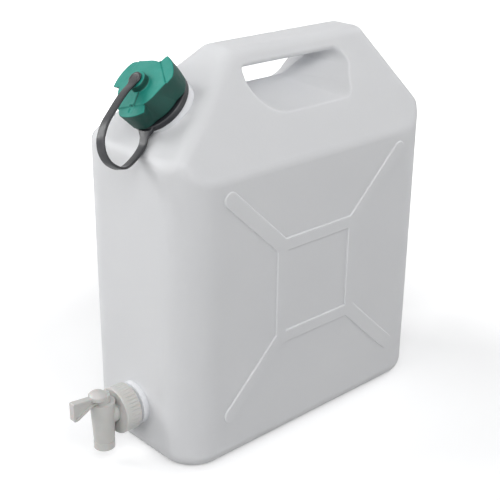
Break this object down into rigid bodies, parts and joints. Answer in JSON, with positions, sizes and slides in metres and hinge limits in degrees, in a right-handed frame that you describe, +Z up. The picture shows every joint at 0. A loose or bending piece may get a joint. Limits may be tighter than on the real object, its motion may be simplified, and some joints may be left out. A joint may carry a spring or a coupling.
{
  "type": "water jerrycan with tap",
  "caption": "Hollow blow-moulded water can with a handle slot, ribbed broad faces, a slanted neck with a lobed screw cap on a strap, and a lever tap near the base.",
  "frame": {"origin": "on the ground under the middle of the base, in the middle plane of the can", "axes": "+X along the broad faces, away from the neck and tap; +Y across the can's depth; +Z up"},
  "size_m": [0.3586, 0.1424, 0.341],
  "materials": {
    "milky_plastic": "translucent milky polyethylene, satin",
    "green_plastic": "moulded, soft gloss",
    "black_plastic": "flexible, satin",
    "white_plastic": "moulded, soft gloss",
    "seal_rubber": "soft white sealing rubber"
  },
  "bodies": {
    "can": {"can_body": "milky_plastic", "cap_strap": "black_plastic", "tap_body": "white_plastic", "tap_collar": "white_plastic", "tap_gasket": "seal_rubber"},
    "cap_liner": {"cap_gasket": "seal_rubber"},
    "screw_cap": {"cap": "green_plastic"},
    "tap_lever": {"tap_spindle": "white_plastic"}
  },
  "joints": [
    {"name": "cap_lift", "type": "slide", "parent": "can", "child": "cap_liner", "axis": [-0.7071, 0, 0.7071], "range_m": [0, 0.0081], "deforming": ["cap_strap"]},
    {"name": "cap_turn", "type": "hinge", "parent": "cap_liner", "child": "screw_cap", "pos_m": [-0.10866, 0, 0.29867], "axis": [-0.7071, 0, 0.7071], "range_deg": [0, 720]},
    {"name": "tap_turn", "type": "hinge", "parent": "can", "child": "tap_lever", "pos_m": [-0.1812, 0, 0.0447], "axis": [0, 0, 1], "range_deg": [0, 90]}
  ],
  "couplings": [
    {"joint": "cap_lift", "follows": "cap_turn", "m_per_rad": 0.00063662}
  ]
}
